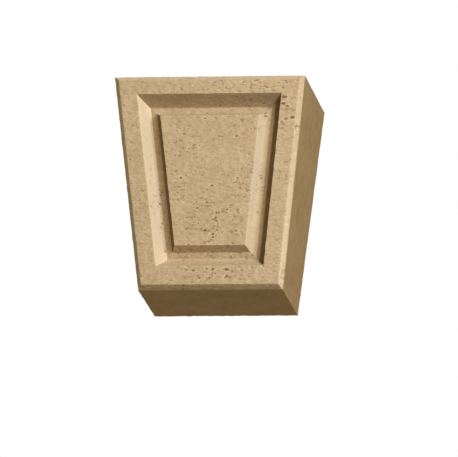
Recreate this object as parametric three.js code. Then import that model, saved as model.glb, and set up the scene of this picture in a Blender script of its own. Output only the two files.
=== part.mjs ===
// Keystone of cast stone: the wedge at the crown of an arch, with a panel
// framed by a coved channel, and bevelled arrises round its face.
// Millimetres, +Z up. The face looks along -Y, the back bed along +Y, and the part
// stands on its underside, centred on the origin.

import * as THREE from 'three';

// The block
const HEIGHT = 305;
const HEAD_WIDTH = 279;
const FOOT_WIDTH = 212;
const HEAD_DEPTH = 244; // back bed to the face, at the face's upper edge
const FOOT_DEPTH = 190; // back bed to the face, at the face's lower edge

// The bevel round the face
const BEVEL_RUN = 6.4;
const BEVEL_DEPTH = 9.5;

// The plain border, from the outline in to the channel
const BORDER = { side: 31, head: 27, foot: 33 };

// The channel, from the border in: a cove down to the valley, a floor that rises gently,
// and a steep riser up to the panel
const COVE_RUN = 15;
const COVE_POWER = 1.35; // 1 is a straight slope, 2 a parabola that is flat at the valley
const COVE_STEPS = 6;
const FLOOR_RUN = 8.5;
const RISER_RUN = 6.2;
const CHANNEL_DEPTH = 27; // face to valley
const FLOOR_RISE = 3.5;
const PANEL_RECESS = 4; // the panel lies this far behind the border

const CAST_STONE = { color: 0xc8ae87, roughness: 0.92, metalness: 0 };

// How far the sides lean out for each millimetre of height
const SIDE_LEAN = (HEAD_WIDTH - FOOT_WIDTH) / 2 / HEIGHT;

// Margins draw the outline in, and are measured square to each edge
const NO_MARGIN = { side: 0, head: 0, foot: 0 };
const grow = (margin, by) => ({ side: margin.side + by, head: margin.head + by, foot: margin.foot + by });

// The face plane leans forward towards the head
function faceY(z) {
  const rise = (z - BEVEL_RUN) / (HEIGHT - 2 * BEVEL_RUN);
  return HEAD_DEPTH / 2 - THREE.MathUtils.lerp(FOOT_DEPTH, HEAD_DEPTH, rise);
}

// Four corners, anticlockwise as seen from the front, from the left of the foot
function ring(margin, yAt) {
  const squareToSide = Math.hypot(1, SIDE_LEAN);
  const halfWidth = (z) => FOOT_WIDTH / 2 + SIDE_LEAN * z - margin.side * squareToSide;
  const foot = margin.foot;
  const head = HEIGHT - margin.head;
  const corners = [[-1, foot], [1, foot], [1, head], [-1, head]];
  return corners.map(([hand, z]) => new THREE.Vector3(hand * halfWidth(z), yAt(z), z));
}

const ringBehindFace = (margin, depth) => ring(margin, (z) => faceY(z) + depth);

// Down the cove in steps, then at the riser's foot and at the panel's edge
function channelRings() {
  const rings = [];
  for (let step = 1; step <= COVE_STEPS; step += 1) {
    const share = step / COVE_STEPS;
    const depth = CHANNEL_DEPTH * (1 - (1 - share) ** COVE_POWER);
    rings.push(ringBehindFace(grow(BORDER, COVE_RUN * share), depth));
  }
  const riserFoot = grow(BORDER, COVE_RUN + FLOOR_RUN);
  rings.push(ringBehindFace(riserFoot, CHANNEL_DEPTH - FLOOR_RISE));
  rings.push(ringBehindFace(grow(riserFoot, RISER_RUN), PANEL_RECESS));
  return rings;
}

// Skin a stack of four-cornered rings, closed by the first and the last of them
function skin(rings) {
  const sides = rings[0].length;
  const positions = rings.flat().flatMap((corner) => corner.toArray());
  const triangles = [];
  for (let level = 0; level + 1 < rings.length; level += 1) {
    for (let side = 0; side < sides; side += 1) {
      const next = (side + 1) % sides;
      const [a, b] = [level * sides + side, level * sides + next];
      const [c, d] = [b + sides, a + sides];
      triangles.push(a, b, c, a, c, d);
    }
  }
  const front = (rings.length - 1) * sides;
  triangles.push(0, 2, 1, 0, 3, 2);
  triangles.push(front, front + 1, front + 2, front, front + 2, front + 3);
  const geometry = new THREE.BufferGeometry();
  geometry.setAttribute('position', new THREE.Float32BufferAttribute(positions, 3));
  geometry.setIndex(triangles);
  geometry.computeVertexNormals();
  return geometry;
}

function keystone() {
  const rings = [
    ring(NO_MARGIN, () => HEAD_DEPTH / 2),
    ringBehindFace(NO_MARGIN, BEVEL_DEPTH),
    ringBehindFace(grow(NO_MARGIN, BEVEL_RUN), 0),
    ringBehindFace(BORDER, 0),
    ...channelRings(),
  ];
  const mesh = new THREE.Mesh(skin(rings), new THREE.MeshStandardMaterial(CAST_STONE));
  mesh.name = 'keystone';
  return mesh;
}

const part = new THREE.Group();
part.add(keystone());

export default part;
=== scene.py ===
"""Keystone of cast stone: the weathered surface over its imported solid, and a plain studio stage."""

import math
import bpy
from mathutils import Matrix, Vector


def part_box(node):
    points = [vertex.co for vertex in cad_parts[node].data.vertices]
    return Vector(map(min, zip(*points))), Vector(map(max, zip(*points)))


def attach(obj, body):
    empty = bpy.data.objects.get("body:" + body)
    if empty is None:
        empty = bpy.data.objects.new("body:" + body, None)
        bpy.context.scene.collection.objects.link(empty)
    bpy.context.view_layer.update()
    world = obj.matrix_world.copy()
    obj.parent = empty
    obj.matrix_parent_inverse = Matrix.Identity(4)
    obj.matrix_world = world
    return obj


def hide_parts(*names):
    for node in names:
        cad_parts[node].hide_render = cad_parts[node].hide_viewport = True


bl_info = {
    "name": "Cast stone keystone",
    "version": (1, 0, 0),
    "blender": (4, 5, 0),
    "location": "3D View > Sidebar > Keystone",
    "description": "Builds a pitted cast stone keystone over its solid, and a plain studio stage",
    "category": "Add Mesh",
}

import bpy
import numpy as np
from bpy.props import FloatProperty, FloatVectorProperty, IntProperty, PointerProperty
from mathutils import Matrix, Vector

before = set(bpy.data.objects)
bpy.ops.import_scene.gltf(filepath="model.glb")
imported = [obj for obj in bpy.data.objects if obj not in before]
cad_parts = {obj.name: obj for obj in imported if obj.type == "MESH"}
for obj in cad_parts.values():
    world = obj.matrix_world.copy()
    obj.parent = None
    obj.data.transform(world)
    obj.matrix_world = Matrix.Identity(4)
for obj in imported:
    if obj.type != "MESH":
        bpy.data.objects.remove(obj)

NODE = "keystone"
LOW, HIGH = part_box(NODE)
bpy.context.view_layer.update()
MM = 0.001

# Cells of the surface: along the head and foot, up the sides, and across each band of the section
HEAD_CELLS = 180
SIDE_CELLS = 210
BED_CELLS = 12
BEVEL_CELLS = 6
BORDER_CELLS = 22
COVE_CELLS = 13
FLOOR_CELLS = 6
RISER_CELLS = 8
BED_CROWDING = 1.6  # a power above 1 draws the beds' cells towards the face
SHARP_ANGLE = math.radians(30)

# Where a ring of the surface turns its corners, after the first
TURNS = np.cumsum((HEAD_CELLS, SIDE_CELLS, HEAD_CELLS))

# Pits that stand out, by place: millimetres across from the middle, up from the foot, and radius
HEAD_PITS = (
    (85, 286, 2.0), (35, 299, 1.6), (50, 293, 1.3), (70, 296, 1.5), (60, 287, 1.3), (18, 283, 1.3),
    (-34, 297, 1.3), (-27, 298, 1.2), (-20, 290, 1.2), (-2, 284, 1.4), (94, 287, 1.3), (114, 292, 1.3),
)
CORNER_PITS = (
    (109, 272, 2.7), (108, 263, 2.3), (114, 259, 2.2),
    (121, 243, 2.7), (111, 241, 2.0), (105, 237, 1.6),
)
RIGHT_CHANNEL_PITS = (
    (79, 254, 2.2), (80, 250, 2.1), (72, 230, 2.0), (73, 162, 1.6),
    (67, 152, 1.6), (66, 144, 1.7), (74, 149, 1.4),
)
LEFT_CHANNEL_PITS = (
    (-87, 174, 1.3), (-75, 140, 1.3), (-85, 119, 1.7),
    (-75, 127, 1.8), (-72, 99, 1.9), (-74, 93, 1.4),
)
HEAD_CHANNEL_PITS = ((59, 271, 1.9), (50, 271, 1.4), (66, 267, 1.3))
FOOT_CHANNEL_PITS = ((-48, 56, 1.4), (51, 48, 1.3), (-36, 53, 1.4), (0, 52, 1.5), (28, 50, 1.4))
SEAM_PITS = ((20, 111, 1.8), (10, 109, 1.9), (8, 101, 1.7), (4, 78, 2.1), (-2, 68, 1.8))
PANEL_PITS = (
    (-7, 84, 2.0), (-24, 95, 1.3), (-17, 94, 1.2), (-18, 116, 1.4), (-5, 124, 1.7), (38, 83, 1.7),
    (59, 133, 1.4), (3, 148, 1.7), (43, 152, 1.3), (-47, 139, 1.2), (-47, 164, 1.4), (-51, 191, 1.4),
    (-23, 205, 1.4), (-15, 205, 1.2), (-30, 200, 1.3), (57, 177, 1.4), (38, 240, 1.3), (-43, 229, 1.2),
)
FOOT_PITS = (
    (25, 27, 2.8), (25, 18, 2.4), (-24, 26, 2.0), (-34, 27, 1.6), (-4, 29, 1.6),
    (-15, 15, 1.6), (-39, 4, 1.6), (3, 18, 1.4), (45, 26, 1.2),
)
BEVEL_PITS = ((128, 231, 1.9), (118, 157, 1.3), (120, 154, 1.4), (106, 22, 1.9))
FACE_PITS = (
    *HEAD_PITS, *CORNER_PITS, *RIGHT_CHANNEL_PITS, *LEFT_CHANNEL_PITS, *HEAD_CHANNEL_PITS,
    *FOOT_CHANNEL_PITS, *SEAM_PITS, *PANEL_PITS, *FOOT_PITS, *BEVEL_PITS,
)

# Lines of small pits: the places they pass, the step along them, and the radii that take turns
PIT_LINES = (
    (
        (32, 117), (20, 111), (10, 108), (8, 100), (12, 92),
        (12, 86), (4, 78), (4, 74), (-3, 68), (-7, 64),
    ),
    ((5, 28), (2, 18), (-4, 12), (-11, 8)),
)
LINE_STEP = 3.2
LINE_RADII = (1.0, 1.4, 0.7, 1.7, 1.1)

# Broken places on the arrises: millimetres across, up, radius and depth
CHIPS = (
    (130, 228, 5.0, 3.5),
    (124, 193, 4.0, 1.5),
    (119, 156, 5.0, 2.0),
    (112, 92, 4.0, 1.5),
    (108, 24, 5.0, 4.0),
    (106, 13, 6.0, 3.0),
    (105, 4, 5.0, 3.0),
    (-104, 4, 5.0, 2.5),
)

# Marks are put on the stone from this far in front of it
MARK_REACH = 1.0

# Kinds of node
MATH = "ShaderNodeMath"
VECTOR = "ShaderNodeVectorMath"
RANGE = "ShaderNodeMapRange"
NOISE = "ShaderNodeTexNoise"
MIX = "ShaderNodeMix"
SPLIT = "ShaderNodeSeparateXYZ"
PLACE = "GeometryNodeInputPosition"
NAMED = "GeometryNodeInputNamedAttribute"
STORE = "GeometryNodeStoreNamedAttribute"
SAMPLE = "GeometryNodeSampleIndex"
RANDOM = "FunctionNodeRandomValue"


def span(low, high, start=0.0, end=1.0):
    """Values of a Map Range node, by socket: the range that is read, and what its ends become."""
    return {1: low, 2: high, 3: start, 4: end}


def noise(millimetres, detail):
    """Values of a Noise Texture node, by socket, for noise of a size."""
    return {"Scale": 1 / (millimetres * MM), "Detail": detail}


# Pits: where they crowd, how they lie, and how they look from the middle out, in shares of the radius
PIT_DRIFTS = noise(40, 2.0)
CROWD_BY_DRIFT = span(0.42, 0.66, 0.1, 0.6)
CROWD_BY_ROUGH = 0.5
ROUGH_BY_REACH = span(22 * MM, 2 * MM)
RARE_LARGE = 3.0  # a higher power makes large pits rarer
LIE_LOW = (0.5, -0.1, -0.25)
LIE_HIGH = (1.0, 0.1, 0.55)
PIT_STRETCH = 0.72  # this share of the squared distance along a pit's axis is left out
HOLLOW_BY_SHARE = span(1.0, 0.35)
# Painted highlight: a pale rim round each pit
RIM_HIGHLIGHT_BY_SHARE = span(2.0, 1.2)
# Painted shade on the pits' floors, more in large pits
PIT_SHADE_BY_RADIUS = span(0.8 * MM, 2.0 * MM, 0.55, 1.0)

# Ragged outlines of pits and chips
RAGS = noise(3.5, 1.0)
NOISE_MIDDLE = (0.5, 0.5, 0.5)
PIT_RAG = 2.4 * MM
CHIP_RAG = 5 * MM

# The mould's hollows, and the wear of the arrises
MOULD_HOLLOWS = noise(28, 3.0)
RUBS = noise(7, 2.0)
WEAR_BY_RUB = span(0.35, 0.75, 0.1, 1.0)
WEAR_BY_ARRIS = span(2.0 * MM, 0.0)

# Painted light on slopes that face right or up, and painted shade on those that face left or down, by
# the way a slope faces and by where it is
PAINTED_LIGHT_BY_RIGHT = span(0.2, 0.56)
PAINTED_LIGHT_BY_ACROSS = span(85 * MM, 130 * MM, 1.0, 0.38)
PAINTED_LIGHT_BY_UP = span(0.3, 0.8, 0.0, 0.5)
PAINTED_LIGHT_BY_RISING = span(0.0, 1.0, 1.0, 2.0)
SHADE_BY_LEFT = span(-0.835, -0.885)
SHADE_BY_DOWN = span(-0.5, -0.8, 0.0, 0.45)
SHADE_BY_RISING = span(0.0, 1.0, 1.0, 0.24)
SHADE_BY_BED = span(0.0, 1.0, 1.0, 0.3)

# Mottling of the stone's colour, and the fine pits that are too small for the mesh, painted dark as
# painted shade
DRIFTS = noise(45, 3.0)
PATCHES = noise(8, 4.0)
GRAINS = noise(2.4, 2.0)
ETCHING = noise(4, 2.5)
LEVEL_STRETCH = (0.55, 1.0, 1.1)  # draws grains out along the level
TONE_SHARES = {"drift": 0.2, "patch": 0.35, "grain": 0.45}
TAN_AT, BUFF_AT, PALE_AT = 0.25, 0.5, 0.75
BLOTCH_BY_NOISE = span(0.75, 1.25)
BAR_BY_ROUGH = span(0.0, 1.0, 0.64, 0.57)
BAR_ON_BEDS = 0.03
FINE_BY_EXCESS = span(0.0, 0.1)
FINE_BY_PAINTED_LIGHT = span(0.0, 1.0, 1.0, 0.35)
# Painted highlight along the arrises
HIGHLIGHT_BY_ARRIS = span(3 * MM, 0.0)

# Relief of the grains
RELIEF_SHARES = {"patch": 2.5, "grain": 0.6, "etched": -2.5, "fine": -1.0}
RELIEF_DEPTH = 1.2 * MM
RELIEF_BY_SMOOTH = span(0.0, 1.0, 0.5, 0.25)
SMOOTH_BY_SHADE = 2.0

# The stage, in metres
FLOOR_HALF = 4.0
FLOOR_DROP = 0.001
FLOOR_COLOUR = "#F4F2EE"
LAMP_DISTANCE = 2.5
SIGHT_END = 100.0
SENSOR_WIDTH = 36.0  # in millimetres, as lenses are


def linear(code):
    """Linear red, green and blue of an sRGB hex colour."""
    channels = [int(code[i : i + 2], 16) / 255 for i in (1, 3, 5)]
    return tuple(c / 12.92 if c <= 0.04045 else ((c + 0.055) / 1.055) ** 2.4 for c in channels)


def length(name, description, millimetres):
    """A property that holds a length, with its default in millimetres."""
    return FloatProperty(
        name=name,
        description=description,
        default=millimetres * MM,
        min=0.0,
        precision=4,
        unit="LENGTH",
        subtype="DISTANCE",
    )


def angle(name, description, degrees):
    """A property that holds an angle, with its default in degrees."""
    return FloatProperty(
        name=name,
        description=description,
        default=math.radians(degrees),
        subtype="ANGLE",
    )


def amount(name, description, value, **settings):
    """A property that holds a number that is never negative."""
    return FloatProperty(name=name, description=description, default=value, min=0.0, **settings)


def colour(name, description, code):
    """A property that holds a colour, with its default as an sRGB hex value."""
    return FloatVectorProperty(
        name=name,
        description=description,
        default=linear(code),
        min=0.0,
        max=1.0,
        subtype="COLOR",
    )


class StoneSizes(bpy.types.PropertyGroup):
    """Sizes of the solid, as the part's source has them."""

    height: length("Height", "Underside to head", (HIGH.z - LOW.z) / MM)
    head_width: length("Head width", "Across the head", (HIGH.x - LOW.x) / MM)
    head_depth: length("Head depth", "Back bed to the face's upper edge", (HIGH.y - LOW.y) / MM)
    foot_width: length("Foot width", "Across the foot", 212)
    foot_depth: length("Foot depth", "Back bed to the face's lower edge", 190)
    bevel_run: length("Bevel run", "Width of the bevel on the face", 6.4)
    bevel_depth: length("Bevel depth", "Width of the bevel on the sides", 9.5)
    border_side: length("Side border", "Outline to the channel at the sides", 31)
    border_head: length("Head border", "Outline to the channel at the head", 27)
    border_foot: length("Foot border", "Outline to the channel at the foot", 33)
    cove_run: length("Cove run", "Width of the cove from the border to the valley", 15)
    floor_run: length("Floor run", "Width of the floor from the valley to the riser", 8.5)
    riser_run: length("Riser run", "Width of the riser from the floor to the panel", 6.2)
    channel_depth: length("Channel depth", "Face to the channel's valley", 27)
    floor_rise: length("Floor rise", "Rise of the channel's floor towards the riser", 3.5)
    panel_recess: length("Panel recess", "Face to the panel", 4)
    cove_power: amount("Cove power", "1 is a straight slope, 2 is flat at the valley", 1.35)


class StoneWeather(bpy.types.PropertyGroup):
    """Sizes of the pits and of the wear."""

    pit_spacing: length("Pit spacing", "Least distance between pits", 2.6)
    pit_small: length("Smallest pit", "Radius of the smallest pits", 0.8)
    pit_large: length("Largest pit", "Radius of the largest scattered pits", 1.7)
    pit_density: amount("Pit density", "Most pits to a square metre", 9000.0)
    pit_depth: amount("Pit depth", "Depth of a pit as a share of its radius", 0.6)
    waviness: length("Waviness", "Hollows left by the mould", 0.5)
    arris_wear: length("Arris wear", "Most that is worn off an arris", 0.75)
    seed: IntProperty(name="Seed", description="Seed of the scattered pits", default=7, min=0)


class StoneColours(bpy.types.PropertyGroup):
    """Colours of the stone."""

    buff: colour("Buff", "The stone's own colour on the face", "#B9A382")
    # Pale is the light grains' colour, and also paints the highlight along the arrises and round the
    # pits
    pale: colour("Pale", "Worn arrises and the light grains", "#CFBC9B")
    tan: colour("Tan", "The darker mottling", "#A18B69")
    # Painted light: slopes that face right, towards the key, and slopes that face up are painted this
    # pale colour; chips take it as freshly broken stone
    washed: colour("Washed", "Slopes that rain keeps clean", "#E3D2B3")
    # Painted shade: slopes that face left, away from the key, and slopes that face down are painted
    # this brown
    painted_shade_brown: colour("Grime", "Slopes that rain doesn't reach", "#5C4214")
    # Painted shade: the beds are painted darker than the face, standing in for the shade on the sides
    # and the underside; the blotches vary at random
    bed: colour("Bed", "The beds, left as the mould gave them", "#A9906A")
    bed_blotch: colour("Bed blotch", "Blotches on the beds", "#987F57")
    # Painted shade: the dark floor of each pit and of the fine pits
    pit: colour("Pit", "The floor of a pit", "#6B4F28")


class StageSettings(bpy.types.PropertyGroup):
    """The camera and the lights."""

    yaw: angle("Camera yaw", "Turn to the right of the face", 7.67)
    pitch: angle("Camera pitch", "Look up from below the foot", 12.66)
    roll: angle("Camera roll", "Turn about the line of sight", 1.25)
    distance: length("Camera distance", "Camera to the middle of the stone", 14814)
    aside: length("Camera aside", "How far to the stone's right the camera aims", 16.4)
    below: length("Camera below", "How far below the stone's middle the camera aims", 47.0)
    lens: amount("Lens", "Focal length in millimetres", 800.0)
    key_turn: angle("Key turn", "Key light's turn to the right of the face", 32)
    key_rise: angle("Key rise", "Key light's height above the horizon", 5)
    key_width: length("Key width", "Width of the key light", 1200)
    key_power: amount("Key power", "Watts", 56.0, unit="POWER")
    back_turn: angle("Back turn", "Back light's turn to the right of the face", 205)
    back_rise: angle("Back rise", "Back light's height above the horizon", 40)
    back_width: length("Back width", "Width of the back light", 1600)
    back_power: amount("Back power", "Watts", 60.0, unit="POWER")
    ambient: amount("Ambient", "Strength of the surround's light", 0.40)
    ambient_tint: colour("Ambient tint", "Colour of the surround's light", "#FFEFCE")


def ring(s, margin, depth):
    """Corners of the outline drawn in by (side, head, foot) margins, from the left of the foot.

    depth is behind the face, or None for the back bed.
    """
    side, head, foot = margin
    lean = (s.head_width - s.foot_width) / 2 / s.height
    corners = []
    for hand, z in ((-1, foot), (1, foot), (1, s.height - head), (-1, s.height - head)):
        x = s.foot_width / 2 + lean * z - side * math.hypot(1, lean)
        rise = (z - s.bevel_run) / (s.height - 2 * s.bevel_run)
        y = s.head_depth / 2
        if depth is not None:
            y += depth - (s.foot_depth + (s.head_depth - s.foot_depth) * rise)
        corners.append((hand * x, y, z))
    return np.array(corners)


def shares(cells, power=1.0):
    """Even steps up to 1, drawn towards the start by a power above 1."""
    return [(step / cells) ** power for step in range(1, cells + 1)]


def section(s):
    """The rings from the back bed to the panel, and the numbers of those that are arrises."""
    outline = np.zeros(3)
    bevel = np.full(3, s.bevel_run)
    border = np.array((s.border_side, s.border_head, s.border_foot))
    channel = (
        (COVE_CELLS, s.cove_run, s.channel_depth, s.cove_power),
        (FLOOR_CELLS, s.floor_run, s.channel_depth - s.floor_rise, 1.0),
        (RISER_CELLS, s.riser_run, s.panel_recess, 1.0),
    )

    back = ring(s, outline, None)
    front = ring(s, outline, s.bevel_depth)
    rings = [back]
    arrises = {"back": 0}
    for t in reversed(shares(BED_CELLS, BED_CROWDING)[:-1]):
        rings.append(front + (back - front) * t)
    rings.append(front)
    arrises["outline"] = len(rings) - 1
    for t in shares(BEVEL_CELLS):
        rings.append(ring(s, bevel * t, s.bevel_depth * (1 - t)))
    arrises["face"] = len(rings) - 1
    for t in shares(BORDER_CELLS):
        rings.append(ring(s, bevel + (border - bevel) * t, 0.0))
    arrises["channel"] = len(rings) - 1
    margin, depth = border, 0.0
    for cells, run, next_depth, power in channel:
        for t in shares(cells):
            fall = 1 - (1 - t) ** power
            rings.append(ring(s, margin + run * t, depth + (next_depth - depth) * fall))
        margin, depth = margin + run, next_depth
    arrises["panel"] = len(rings) - 1
    return rings, arrises


def loop(corners):
    """Points along a ring, which the neighbouring rings have at the same places."""
    parts = []
    for side, cells in enumerate((HEAD_CELLS, SIDE_CELLS, HEAD_CELLS, SIDE_CELLS)):
        start, end = corners[side], corners[(side + 1) % len(corners)]
        parts.append(start + (end - start) * np.linspace(0, 1, cells, endpoint=False)[:, None])
    return np.concatenate(parts)


def nearest(points, lines):
    """Distance of a grid's points from the nearest of some of its own rows and columns."""
    return np.min([np.linalg.norm(points - line, axis=2) for line in lines], axis=0)


def panel_grid(corners):
    """Points of the panel, in rows from the foot, and each one's distance from its edge."""
    across = np.linspace(0, 1, HEAD_CELLS + 1)[None, :, None]
    up = np.linspace(0, 1, SIDE_CELLS + 1)[:, None, None]
    foot = corners[0] + (corners[1] - corners[0]) * across
    head = corners[3] + (corners[2] - corners[3]) * across
    points = foot + (head - foot) * up
    return points, nearest(points, (points[:1], points[-1:], points[:, :1], points[:, -1:]))


def panel_numbers(edge, inner):
    """Numbers of the panel's points in the grid, from those of its edge and those inside it."""
    numbers = np.zeros((SIDE_CELLS + 1, HEAD_CELLS + 1), int)
    numbers[1:-1, 1:-1] = inner.reshape(SIDE_CELLS - 1, HEAD_CELLS - 1)
    numbers[0, :] = edge[: TURNS[0] + 1]
    numbers[:, -1] = edge[TURNS[0] : TURNS[1] + 1]
    numbers[-1, ::-1] = edge[TURNS[1] : TURNS[2] + 1]
    numbers[::-1, 0] = np.append(edge[TURNS[2] :], edge[0])
    return numbers


def quads(numbers):
    """Four-cornered faces over a grid of numbered points."""
    corners = (numbers[:-1, :-1], numbers[:-1, 1:], numbers[1:, 1:], numbers[1:, :-1])
    return np.stack(corners, axis=2).reshape(-1, 4).tolist()


def stone_blank(s):
    """The clean stone as a fine mesh.

    Its points hold their distance from an arris, whether they are on a bed, and whether they are
    on the part of the channel that rises to the panel.
    """
    rings, arrises = section(s)
    loops = np.array([loop(corners) for corners in rings])
    levels, around = loops.shape[:2]
    grid, inside = panel_grid(rings[-1])
    inner = grid[1:-1, 1:-1].reshape(-1, 3)

    arris = nearest(loops, [loops[number] for number in arrises.values()])
    corner = nearest(loops, [loops[:, turn : turn + 1] for turn in (0, *TURNS)])
    beds = slice(arrises["outline"] + 1)
    arris[beds] = np.minimum(arris, corner)[beds]
    bed = np.zeros((levels, around))
    bed[: arrises["outline"]] = 1.0
    rising = np.zeros((levels, around))
    rising[arrises["channel"] + COVE_CELLS :] = 1.0

    index = np.arange(levels * around).reshape(levels, around)
    closed = np.concatenate((index, index[:, :1]), axis=1)
    panel = panel_numbers(index[-1], index.size + np.arange(len(inner)))
    faces = [*quads(closed), *quads(panel), index[0, ::-1].tolist()]
    points = np.concatenate((loops.reshape(-1, 3), inner))

    mesh = bpy.data.meshes.new("stone_blank")
    mesh.from_pydata(points.tolist(), [], faces)
    none = np.zeros(inside.shape)
    held = (("arris", arris, inside), ("bed", bed, none), ("rising", rising, none))
    for name, on_rings, on_panel in held:
        values = np.concatenate((on_rings.ravel(), on_panel[1:-1, 1:-1].ravel()))
        attribute = mesh.attributes.new(name, "FLOAT", "POINT")
        attribute.data.foreach_set("value", values.astype(np.float32))
    mesh.polygons.foreach_set("use_smooth", np.ones(len(mesh.polygons), bool))
    mesh.set_sharp_from_angle(angle=SHARP_ANGLE)
    mesh.validate()
    return mesh


def line_pits():
    """Small pits in a row along each line."""
    pits = []
    for path in PIT_LINES:
        for (x, z), (next_x, next_z) in zip(path, path[1:]):
            steps = math.ceil(math.dist((x, z), (next_x, next_z)) / LINE_STEP)
            for step in range(steps):
                share = step / steps
                radius = LINE_RADII[len(pits) % len(LINE_RADII)]
                pits.append((x + (next_x - x) * share, z + (next_z - z) * share, radius))
    return pits


def marks(name, stone, places, fields):
    """A cloud of points on the stone's face, at places seen square on, each with its own sizes."""
    points = []
    for place in places:
        ahead = Vector((place[0] * MM, LOW.y - MARK_REACH, place[1] * MM))
        hit, point = stone.ray_cast(ahead, Vector((0, 1, 0)))[:2]
        if not hit:
            raise RuntimeError(f"{name}: no stone at {place[:2]}")
        points.append(point)
    mesh = bpy.data.meshes.new(name)
    mesh.from_pydata(points, [], [])
    for number, field in enumerate(fields, 2):
        values = [place[number] * MM for place in places]
        mesh.attributes.new(field, "FLOAT", "POINT").data.foreach_set("value", values)
    cloud = bpy.data.objects.new(name, mesh)
    bpy.context.scene.collection.objects.link(cloud)
    return cloud


def add(tree, kind, links=None, **settings):
    """Add a node with its settings, and link its inputs or set their values."""
    node = tree.nodes.new(kind)
    for name, value in settings.items():
        setattr(node, name, value)
    for socket, source in (links or {}).items():
        if isinstance(source, bpy.types.NodeSocket):
            tree.links.new(source, node.inputs[socket])
        else:
            node.inputs[socket].default_value = source
    return node


def pit_cloud(tree, given, chosen, rough, bed):
    """Points with the radius and the long axis of each pit: drifts of small ones, and the chosen."""
    here = add(tree, PLACE).outputs[0]
    on_face = add(tree, MATH, {0: bed, 1: 0.5}, operation="LESS_THAN").outputs[0]
    drift = add(tree, NOISE, {"Vector": here, **PIT_DRIFTS}).outputs[0]
    crowd = add(tree, RANGE, {0: drift, **CROWD_BY_DRIFT}).outputs[0]
    more = {0: rough, 1: CROWD_BY_ROUGH, 2: crowd}
    crowd = add(tree, MATH, more, operation="MULTIPLY_ADD", use_clamp=True).outputs[0]
    spread = {
        "Mesh": given["Geometry"],
        "Selection": on_face,
        "Distance Min": given["Pit spacing"],
        "Density Max": given["Pit density"],
        "Density Factor": crowd,
        "Seed": given["Seed"],
    }
    scatter = add(
        tree, "GeometryNodeDistributePointsOnFaces", spread, distribute_method="POISSON"
    ).outputs["Points"]
    chance = add(tree, RANDOM, {2: 0.0, 3: 1.0, "Seed": given["Seed"]}, data_type="FLOAT").outputs[1]
    chance = add(tree, MATH, {0: chance, 1: RARE_LARGE}, operation="POWER").outputs[0]
    size = add(tree, RANGE, {0: chance, 3: given["Smallest pit"], 4: given["Largest pit"]}).outputs[0]
    sized = {"Geometry": scatter, "Name": "pit_radius", "Value": size}
    scatter = add(tree, STORE, sized, data_type="FLOAT", domain="POINT").outputs[0]
    joined = add(tree, "GeometryNodeJoinGeometry", {0: scatter})
    tree.links.new(chosen, joined.inputs[0])
    ends = {0: LIE_LOW, 1: LIE_HIGH, "Seed": given["Seed"]}
    lie = add(tree, RANDOM, ends, data_type="FLOAT_VECTOR").outputs[0]
    lie = add(tree, VECTOR, {0: lie}, operation="NORMALIZE").outputs[0]
    laid = {"Geometry": joined.outputs[0], "Name": "pit_axis", "Value": lie}
    return add(tree, STORE, laid, data_type="FLOAT_VECTOR", domain="POINT").outputs[0]


def hollows(tree, cloud, place, radius_name):
    """(share of the radius from the nearest hollow's middle, its radius, its number in the cloud)."""
    sought = {"Geometry": cloud, "Sample Position": place}
    number = add(tree, "GeometryNodeSampleNearest", sought).outputs[0]
    middle = add(tree, PLACE).outputs[0]
    axis = add(tree, NAMED, {"Name": "pit_axis"}, data_type="FLOAT_VECTOR").outputs[0]
    radius = add(tree, NAMED, {"Name": radius_name}, data_type="FLOAT").outputs[0]
    held = []
    for value, kind in ((middle, "FLOAT_VECTOR"), (axis, "FLOAT_VECTOR"), (radius, "FLOAT")):
        sampled = {"Geometry": cloud, "Value": value, "Index": number}
        held.append(add(tree, SAMPLE, sampled, data_type=kind).outputs[0])
    middle, axis, radius = held
    away = add(tree, VECTOR, {0: place, 1: middle}, operation="SUBTRACT").outputs[0]
    square = add(tree, VECTOR, {0: away, 1: away}, operation="DOT_PRODUCT").outputs["Value"]
    along = add(tree, VECTOR, {0: away, 1: axis}, operation="DOT_PRODUCT").outputs["Value"]
    along = add(tree, MATH, {0: along, 1: along}, operation="MULTIPLY").outputs[0]
    along = add(tree, MATH, {0: along, 1: PIT_STRETCH}, operation="MULTIPLY").outputs[0]
    away = add(tree, MATH, {0: square, 1: along}, operation="SUBTRACT", use_clamp=True).outputs[0]
    away = add(tree, MATH, {0: away}, operation="SQRT").outputs[0]
    share = add(tree, MATH, {0: away, 1: radius}, operation="DIVIDE").outputs[0]
    return share, radius, number


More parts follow.
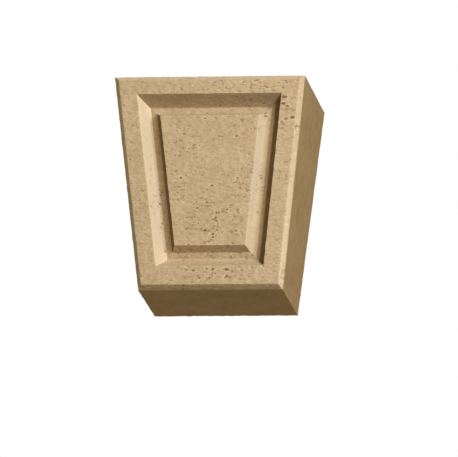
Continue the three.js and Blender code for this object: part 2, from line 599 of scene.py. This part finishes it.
def painted_light_and_shade(tree, bed, rising):
    """How much painted light falls on slopes that face right or up, and painted shade on those that
    face left or down.
    """
    here = add(tree, PLACE).outputs[0]
    across = add(tree, SPLIT, {0: here}).outputs["X"]
    outward = add(tree, "GeometryNodeInputNormal").outputs[0]
    facing = add(tree, SPLIT, {0: outward}).outputs
    off_beds = add(tree, MATH, {0: 1.0, 1: bed}, operation="SUBTRACT").outputs[0]

    # Painted light: slopes that face right, towards the key, are painted pale, fading towards the right
    # edge
    washed = add(tree, RANGE, {0: facing["X"], **PAINTED_LIGHT_BY_RIGHT}).outputs[0]
    fade_to_right = add(tree, RANGE, {0: across, **PAINTED_LIGHT_BY_ACROSS}).outputs[0]
    washed = add(tree, MATH, {0: washed, 1: fade_to_right}, operation="MULTIPLY").outputs[0]
    # Painted light on slopes that face up too, doubled where the channel rises to the panel
    upper = add(tree, RANGE, {0: facing["Z"], **PAINTED_LIGHT_BY_UP}).outputs[0]
    rising_boost = add(tree, RANGE, {0: rising, **PAINTED_LIGHT_BY_RISING}).outputs[0]
    upper = add(tree, MATH, {0: upper, 1: rising_boost}, operation="MULTIPLY").outputs[0]
    washed = add(tree, MATH, {0: washed, 1: upper}, operation="MAXIMUM").outputs[0]
    washed = add(tree, MATH, {0: washed, 1: off_beds}, operation="MULTIPLY").outputs[0]

    # Painted shade: the steepest slopes that face left, away from the key, and slopes that face down,
    # less where the channel rises and on the beds
    shade_left = add(tree, RANGE, {0: facing["X"], **SHADE_BY_LEFT}).outputs[0]
    shade_left = add(tree, MATH, {0: shade_left, 1: off_beds}, operation="MULTIPLY").outputs[0]
    under = add(tree, RANGE, {0: facing["Z"], **SHADE_BY_DOWN}).outputs[0]
    for where, change in ((rising, SHADE_BY_RISING), (bed, SHADE_BY_BED)):
        less = add(tree, RANGE, {0: where, **change}).outputs[0]
        under = add(tree, MATH, {0: under, 1: less}, operation="MULTIPLY").outputs[0]
    grimy = add(tree, MATH, {0: shade_left, 1: under}, operation="MAXIMUM").outputs[0]
    return washed, grimy


WEATHER_INPUTS = {
    "Geometry": "Geometry",
    "Face pits": "Object",
    "Chips": "Object",
    "Pit spacing": "Float",
    "Pit density": "Float",
    "Smallest pit": "Float",
    "Largest pit": "Float",
    "Pit depth": "Float",
    "Waviness": "Float",
    "Arris wear": "Float",
    "Seed": "Int",
    "Stone": "Material",
}


def weathering_tree():
    """Geometry nodes that pit the face, wear the arrises and chip them where the chips are."""
    tree = bpy.data.node_groups.new("weathering", "GeometryNodeTree")
    tree.interface.new_socket("Geometry", in_out="OUTPUT", socket_type="NodeSocketGeometry")
    for name, kind in WEATHER_INPUTS.items():
        tree.interface.new_socket(name, in_out="INPUT", socket_type=f"NodeSocket{kind}")
    given = add(tree, "NodeGroupInput").outputs
    here = add(tree, PLACE).outputs[0]
    outward = add(tree, "GeometryNodeInputNormal").outputs[0]
    held = {}
    for name in ("arris", "bed", "rising", "chip_depth"):
        held[name] = add(tree, NAMED, {"Name": name}, data_type="FLOAT").outputs[0]

    clouds = {}
    for name in ("Face pits", "Chips"):
        cloud = add(tree, "GeometryNodeObjectInfo", {"Object": given[name]}).outputs["Geometry"]
        clouds[name] = add(tree, "GeometryNodeMeshToPoints", {"Mesh": cloud}).outputs[0]

    # The stone is roughest round the pits that stand out
    chosen = clouds["Face pits"]
    reach = add(tree, "GeometryNodeProximity", {0: chosen}, target_element="POINTS").outputs["Distance"]
    rough = add(tree, RANGE, {0: reach, **ROUGH_BY_REACH}).outputs[0]

    # Ragged outlines: places are read a little to one side of where they are
    rag = add(tree, NOISE, {"Vector": here, **RAGS}).outputs["Color"]
    rag = add(tree, VECTOR, {0: rag, 1: NOISE_MIDDLE}, operation="SUBTRACT").outputs[0]
    near = {}
    for name, most in (("pit", PIT_RAG), ("chip", CHIP_RAG)):
        aside = add(tree, VECTOR, {0: rag, "Scale": most}, operation="SCALE").outputs[0]
        near[name] = add(tree, VECTOR, {0: here, 1: aside}, operation="ADD").outputs[0]

    # Pits, with a painted highlight as a pale rim, and floors painted dark as painted shade, darker in
    # the large ones
    pits = pit_cloud(tree, given, chosen, rough, held["bed"])
    share, radius, _ = hollows(tree, pits, near["pit"], "pit_radius")
    pit = add(tree, RANGE, {0: share, **HOLLOW_BY_SHARE}, interpolation_type="SMOOTHSTEP").outputs[0]
    pit_shade = add(tree, RANGE, {0: radius, **PIT_SHADE_BY_RADIUS}).outputs[0]
    pit_shade = add(tree, MATH, {0: pit, 1: pit_shade}, operation="MULTIPLY").outputs[0]
    rim = add(tree, RANGE, {0: share, **RIM_HIGHLIGHT_BY_SHARE}).outputs[0]
    rim = add(tree, MATH, {0: rim, 1: pit}, operation="SUBTRACT", use_clamp=True).outputs[0]
    pit_sink = add(tree, MATH, {0: radius, 1: given["Pit depth"]}, operation="MULTIPLY").outputs[0]
    pit_sink = add(tree, MATH, {0: pit_sink, 1: pit}, operation="MULTIPLY").outputs[0]

    # Chips
    share, _, number = hollows(tree, clouds["Chips"], near["chip"], "chip_radius")
    chip = add(tree, RANGE, {0: share, **HOLLOW_BY_SHARE}).outputs[0]
    sampled = {"Geometry": clouds["Chips"], "Value": held["chip_depth"], "Index": number}
    chip_sink = add(tree, SAMPLE, sampled, data_type="FLOAT").outputs[0]
    chip_sink = add(tree, MATH, {0: chip_sink, 1: chip}, operation="MULTIPLY").outputs[0]

    # The mould's slight hollows, and wear that comes and goes along the arrises
    sway = add(tree, NOISE, {"Vector": here, **MOULD_HOLLOWS}).outputs[0]
    sway = add(tree, MATH, {0: sway, 1: given["Waviness"]}, operation="MULTIPLY").outputs[0]
    rub = add(tree, NOISE, {"Vector": here, **RUBS}).outputs[0]
    rub = add(tree, RANGE, {0: rub, **WEAR_BY_RUB}).outputs[0]
    close = add(tree, RANGE, {0: held["arris"], **WEAR_BY_ARRIS}).outputs[0]
    rub = add(tree, MATH, {0: rub, 1: close}, operation="MULTIPLY").outputs[0]
    wear = add(tree, MATH, {0: rub, 1: given["Arris wear"]}, operation="MULTIPLY").outputs[0]

    sink = pit_sink
    for part in (chip_sink, sway, wear):
        sink = add(tree, MATH, {0: sink, 1: part}, operation="ADD").outputs[0]
    sink = add(tree, MATH, {0: sink, 1: -1.0}, operation="MULTIPLY").outputs[0]
    move = add(tree, VECTOR, {0: outward, "Scale": sink}, operation="SCALE").outputs[0]

    washed, grimy = painted_light_and_shade(tree, held["bed"], held["rising"])
    kept = (
        ("pit", pit_shade, "POINT"),
        ("rim", rim, "POINT"),
        ("chip", chip, "POINT"),
        ("rough", rough, "POINT"),
        ("washed", washed, "FACE"),
        ("grimy", grimy, "FACE"),
    )
    shape = given["Geometry"]
    for name, value, domain in kept:
        stored = {"Geometry": shape, "Name": name, "Value": value}
        shape = add(tree, STORE, stored, data_type="FLOAT", domain=domain).outputs[0]
    shape = add(tree, "GeometryNodeSetPosition", {"Geometry": shape, "Offset": move}).outputs[0]
    shape = add(tree, "GeometryNodeRealizeInstances", {"Geometry": shape}).outputs[0]
    dressed = {"Geometry": shape, "Material": given["Stone"]}
    shape = add(tree, "GeometryNodeSetMaterial", dressed).outputs[0]
    add(tree, "NodeGroupOutput", {"Geometry": shape})
    return tree


def cast_stone(colours):
    """Buff cast stone, wet cast and lightly etched.

    Matt, mottled from grain to grain, with pits where air was trapped, their floors painted brown as
    painted shade.
    Slopes that face right or up are painted pale as painted light, those that face left or down brown
    as painted shade, and the beds, with the mould's smooth skin, darker than the face as painted shade.
    """
    material = bpy.data.materials.new("cast_stone_buff_etched")
    material.use_nodes = True
    tree = material.node_tree
    tree.nodes.clear()
    place = add(tree, "ShaderNodeTexCoord").outputs["Object"]
    held = {}
    for name in ("pit", "rim", "chip", "arris", "bed", "washed", "grimy", "rough"):
        held[name] = add(tree, "ShaderNodeAttribute", attribute_name=name).outputs["Fac"]

    # Mottling: drifts, then patches, then grains drawn out along the level
    level = add(tree, VECTOR, {0: place, 1: LEVEL_STRETCH}, operation="MULTIPLY").outputs[0]
    mottles = (
        ("drift", place, DRIFTS),
        ("patch", place, PATCHES),
        ("grain", level, GRAINS),
        ("etched", level, ETCHING),
    )
    tones = {}
    for name, where, values in mottles:
        tones[name] = add(tree, NOISE, {"Vector": where, **values}).outputs[0]
    mixed = 0.0
    for name, weight in TONE_SHARES.items():
        sockets = {0: tones[name], 1: weight, 2: mixed}
        mixed = add(tree, MATH, sockets, operation="MULTIPLY_ADD").outputs[0]
    ramp = add(tree, "ShaderNodeValToRGB", {0: mixed})
    first, last = ramp.color_ramp.elements
    first.position = TAN_AT
    first.color = (*colours.tan, 1)
    last.position = PALE_AT
    last.color = (*colours.pale, 1)
    ramp.color_ramp.elements.new(BUFF_AT).color = (*colours.buff, 1)
    face = ramp.outputs[0]
    blotch = add(tree, MATH, {0: tones["drift"], 1: tones["patch"]}, operation="ADD").outputs[0]
    blotch = add(tree, RANGE, {0: blotch, **BLOTCH_BY_NOISE}).outputs[0]
    # Painted shade: the beds' colours are darker than the face's; the blotches on them vary at random
    both = {0: blotch, 6: (*colours.bed, 1), 7: (*colours.bed_blotch, 1)}
    bed = add(tree, MIX, both, data_type="RGBA").outputs[2]
    tone = add(tree, MIX, {0: held["bed"], 6: face, 7: bed}, data_type="RGBA").outputs[2]

    # Fine pits, too small for the mesh: ragged strokes that lie mostly level, painted dark as painted
    # shade
    bar = add(tree, RANGE, {0: held["rough"], **BAR_BY_ROUGH}).outputs[0]
    bar = add(tree, MATH, {0: held["bed"], 1: BAR_ON_BEDS, 2: bar}, operation="MULTIPLY_ADD").outputs[0]
    fine = add(tree, MATH, {0: tones["etched"], 1: bar}, operation="SUBTRACT").outputs[0]
    fine = add(tree, RANGE, {0: fine, **FINE_BY_EXCESS}).outputs[0]
    left = add(tree, RANGE, {0: held["washed"], **FINE_BY_PAINTED_LIGHT}).outputs[0]
    tones["fine"] = add(tree, MATH, {0: fine, 1: left}, operation="MULTIPLY").outputs[0]

    # Colours laid over one another: where, the most of each, and which
    # Painted highlight: a pale band along every arris
    close = add(tree, RANGE, {0: held["arris"], **HIGHLIGHT_BY_ARRIS}).outputs[0]
    layers = (
        # Painted light on slopes that face right and up
        (held["washed"], 0.85, colours.washed),
        (close, 0.22, colours.pale),
        # Painted highlight round each pit
        (held["rim"], 0.5, colours.pale),
        (held["chip"], 0.35, colours.washed),
        # Painted shade in the fine pits
        (tones["fine"], 0.45, colours.pit),
        # Painted shade on the pits' floors
        (held["pit"], 0.9, colours.pit),
        # Painted shade on slopes that face left and down
        (held["grimy"], 0.85, colours.painted_shade_brown),
    )
    for where, most, shade in layers:
        much = add(tree, MATH, {0: where, 1: most}, operation="MULTIPLY", use_clamp=True).outputs[0]
        tone = add(tree, MIX, {0: much, 6: tone, 7: (*shade, 1)}, data_type="RGBA").outputs[2]

    # Relief of the grains, less on the beds and on smooth slopes, with the fine pits sunk into it
    height = 0.0
    for name, weight in RELIEF_SHARES.items():
        sockets = {0: tones[name], 1: weight, 2: height}
        height = add(tree, MATH, sockets, operation="MULTIPLY_ADD").outputs[0]
    skin = {0: held["grimy"], 1: SMOOTH_BY_SHADE}
    smooth = add(tree, MATH, skin, operation="MULTIPLY", use_clamp=True).outputs[0]
    for name in ("bed", "washed"):
        smooth = add(tree, MATH, {0: smooth, 1: held[name]}, operation="MAXIMUM").outputs[0]
    strength = add(tree, RANGE, {0: smooth, **RELIEF_BY_SMOOTH}).outputs[0]
    relief = {"Height": height, "Strength": strength, "Distance": RELIEF_DEPTH}
    bump = add(tree, "ShaderNodeBump", relief).outputs[0]
    surface = {
        "Base Color": tone,
        "Normal": bump,
        "Roughness": 0.92,
        "IOR": 1.5,
        "Specular IOR Level": 0.25,
    }
    shader = add(tree, "ShaderNodeBsdfPrincipled", surface).outputs[0]
    add(tree, "ShaderNodeOutputMaterial", {"Surface": shader})
    return material


class KEYSTONE_OT_stone(bpy.types.Operator):
    """Build the weathered stone in place of its plain solid"""

    bl_idname = "keystone.stone"
    bl_label = "Build stone"

    def execute(self, context):
        scene = context.scene
        weather = scene.keystone_weather
        stone = bpy.data.objects.new("keystone_stone", stone_blank(scene.keystone_sizes))
        scene.collection.objects.link(stone)
        context.view_layer.update()
        pits = marks("face_pits", stone, [*FACE_PITS, *line_pits()], ("pit_radius",))
        chips = marks("chips", stone, CHIPS, ("chip_radius", "chip_depth"))
        tree = weathering_tree()
        modifier = stone.modifiers.new("weathering", "NODES")
        modifier.node_group = tree
        values = {
            "Face pits": pits,
            "Chips": chips,
            "Pit spacing": weather.pit_spacing,
            "Pit density": weather.pit_density,
            "Smallest pit": weather.pit_small,
            "Largest pit": weather.pit_large,
            "Pit depth": weather.pit_depth,
            "Waviness": weather.waviness,
            "Arris wear": weather.arris_wear,
            "Seed": weather.seed,
            "Stone": cast_stone(scene.keystone_colours),
        }
        for socket in tree.interface.items_tree:
            if socket.in_out == "INPUT" and socket.name in values:
                modifier[socket.identifier] = values[socket.name]
        depsgraph = context.evaluated_depsgraph_get()
        mesh = bpy.data.meshes.new_from_object(stone.evaluated_get(depsgraph), depsgraph=depsgraph)
        if not mesh.materials or "pit" not in mesh.attributes:
            raise RuntimeError("the weathering nodes gave no finished stone")
        stone.modifiers.remove(modifier)
        stone.data = mesh
        for cloud in (pits, chips):
            bpy.data.objects.remove(cloud)
        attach(stone, "root")
        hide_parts(NODE)
        return {"FINISHED"}


def add_floor(scene):
    """A pale floor that shows from above only, so that the stone's underside can be seen."""
    mesh = bpy.data.meshes.new("floor")
    turns = ((-1, -1), (1, -1), (1, 1), (-1, 1))
    corners = [(x * FLOOR_HALF, y * FLOOR_HALF, -FLOOR_DROP) for x, y in turns]
    mesh.from_pydata(corners, [], [(0, 1, 2, 3)])
    floor = bpy.data.objects.new("floor", mesh)
    scene.collection.objects.link(floor)
    floor.visible_diffuse = False
    floor.visible_glossy = False
    floor.visible_shadow = False
    paper = bpy.data.materials.new("matt_paper_white")
    paper.use_nodes = True
    tree = paper.node_tree
    tree.nodes.clear()
    under = add(tree, "ShaderNodeNewGeometry").outputs["Backfacing"]
    white = add(tree, "ShaderNodeBsdfDiffuse", {"Color": (*linear(FLOOR_COLOUR), 1)}).outputs[0]
    clear = add(tree, "ShaderNodeBsdfTransparent").outputs[0]
    both = add(tree, "ShaderNodeMixShader", {0: under, 1: white, 2: clear}).outputs[0]
    add(tree, "ShaderNodeOutputMaterial", {"Surface": both})
    mesh.materials.append(paper)


def add_lamps(scene, stage, middle):
    """A soft key from the right of the face, and a light behind for the back."""
    lamps = (
        ("key", stage.key_turn, stage.key_rise, stage.key_width, stage.key_power),
        ("back", stage.back_turn, stage.back_rise, stage.back_width, stage.back_power),
    )
    for name, turn, rise, width, power in lamps:
        lamp = bpy.data.lights.new(name, "AREA")
        lamp.shape = "DISK"
        lamp.size = width
        lamp.energy = power
        holder = bpy.data.objects.new(name, lamp)
        scene.collection.objects.link(holder)
        flat = math.cos(rise)
        outward = Vector((math.sin(turn) * flat, -math.cos(turn) * flat, math.sin(rise)))
        holder.location = middle + outward * LAMP_DISTANCE
        holder.rotation_euler = (-outward).to_track_quat("-Z", "Y").to_euler()


def set_surround(scene, stage):
    """A surround that is white to the eye, and a weak light on the stone."""
    world = bpy.data.worlds.new("white_surround")
    world.use_nodes = True
    tree = world.node_tree
    tree.nodes.clear()
    seen = add(tree, "ShaderNodeLightPath").outputs["Is Camera Ray"]
    tinted = {"Color": (*stage.ambient_tint, 1), "Strength": stage.ambient}
    glow = add(tree, "ShaderNodeBackground", tinted).outputs[0]
    plain = add(tree, "ShaderNodeBackground", {"Color": (1, 1, 1, 1), "Strength": 1.0}).outputs[0]
    both = add(tree, "ShaderNodeMixShader", {0: seen, 1: glow, 2: plain}).outputs[0]
    add(tree, "ShaderNodeOutputWorld", {"Surface": both})
    scene.world = world
    scene.view_settings.view_transform = "Standard"


def add_camera(scene, stage, middle):
    """A camera to the right of the face and below the foot."""
    lens = bpy.data.cameras.new("camera")
    lens.lens = stage.lens
    lens.sensor_width = SENSOR_WIDTH
    lens.clip_end = SIGHT_END
    camera = bpy.data.objects.new("camera", lens)
    scene.collection.objects.link(camera)
    across = Vector((math.cos(stage.yaw), math.sin(stage.yaw), 0))
    ahead = Vector((-math.sin(stage.yaw), math.cos(stage.yaw), 0))
    sight = ahead * math.cos(stage.pitch) + Vector((0, 0, math.sin(stage.pitch)))
    upright = Vector((0, 0, math.cos(stage.pitch))) - ahead * math.sin(stage.pitch)
    right = across * math.cos(stage.roll) + upright * math.sin(stage.roll)
    top = upright * math.cos(stage.roll) - across * math.sin(stage.roll)
    camera.matrix_world = Matrix((right, top, -sight)).transposed().to_4x4()
    camera.location = middle - sight * stage.distance + right * stage.aside - top * stage.below
    scene.camera = camera


class KEYSTONE_OT_stage(bpy.types.Operator):
    """Set the floor, the lights, the white surround and the camera"""

    bl_idname = "keystone.stage"
    bl_label = "Set stage"

    def execute(self, context):
        scene = context.scene
        stage = scene.keystone_stage
        middle = (LOW + HIGH) / 2
        add_floor(scene)
        add_lamps(scene, stage, middle)
        set_surround(scene, stage)
        add_camera(scene, stage, middle)
        return {"FINISHED"}


class KEYSTONE_PT_panel(bpy.types.Panel):
    """Sizes, colours and the two steps that build the scene"""

    bl_idname = "KEYSTONE_PT_panel"
    bl_label = "Cast stone keystone"
    bl_space_type = "VIEW_3D"
    bl_region_type = "UI"
    bl_category = "Keystone"

    def draw(self, context):
        layout = self.layout
        for name in SETTINGS:
            group = getattr(context.scene, name)
            box = layout.box()
            for key in group.bl_rna.properties.keys():
                if key not in ("rna_type", "name"):
                    box.prop(group, key)
        for operator in (KEYSTONE_OT_stone, KEYSTONE_OT_stage):
            layout.operator(operator.bl_idname)


SETTINGS = {
    "keystone_sizes": StoneSizes,
    "keystone_weather": StoneWeather,
    "keystone_colours": StoneColours,
    "keystone_stage": StageSettings,
}
CLASSES = (*SETTINGS.values(), KEYSTONE_OT_stone, KEYSTONE_OT_stage, KEYSTONE_PT_panel)


def register():
    for cls in CLASSES:
        bpy.utils.register_class(cls)
    for name, group in SETTINGS.items():
        setattr(bpy.types.Scene, name, PointerProperty(type=group))


def unregister():
    for name in SETTINGS:
        delattr(bpy.types.Scene, name)
    for cls in reversed(CLASSES):
        bpy.utils.unregister_class(cls)


def main():
    register()
    bpy.ops.keystone.stone()
    bpy.ops.keystone.stage()


if __name__ == "__main__":
    main()
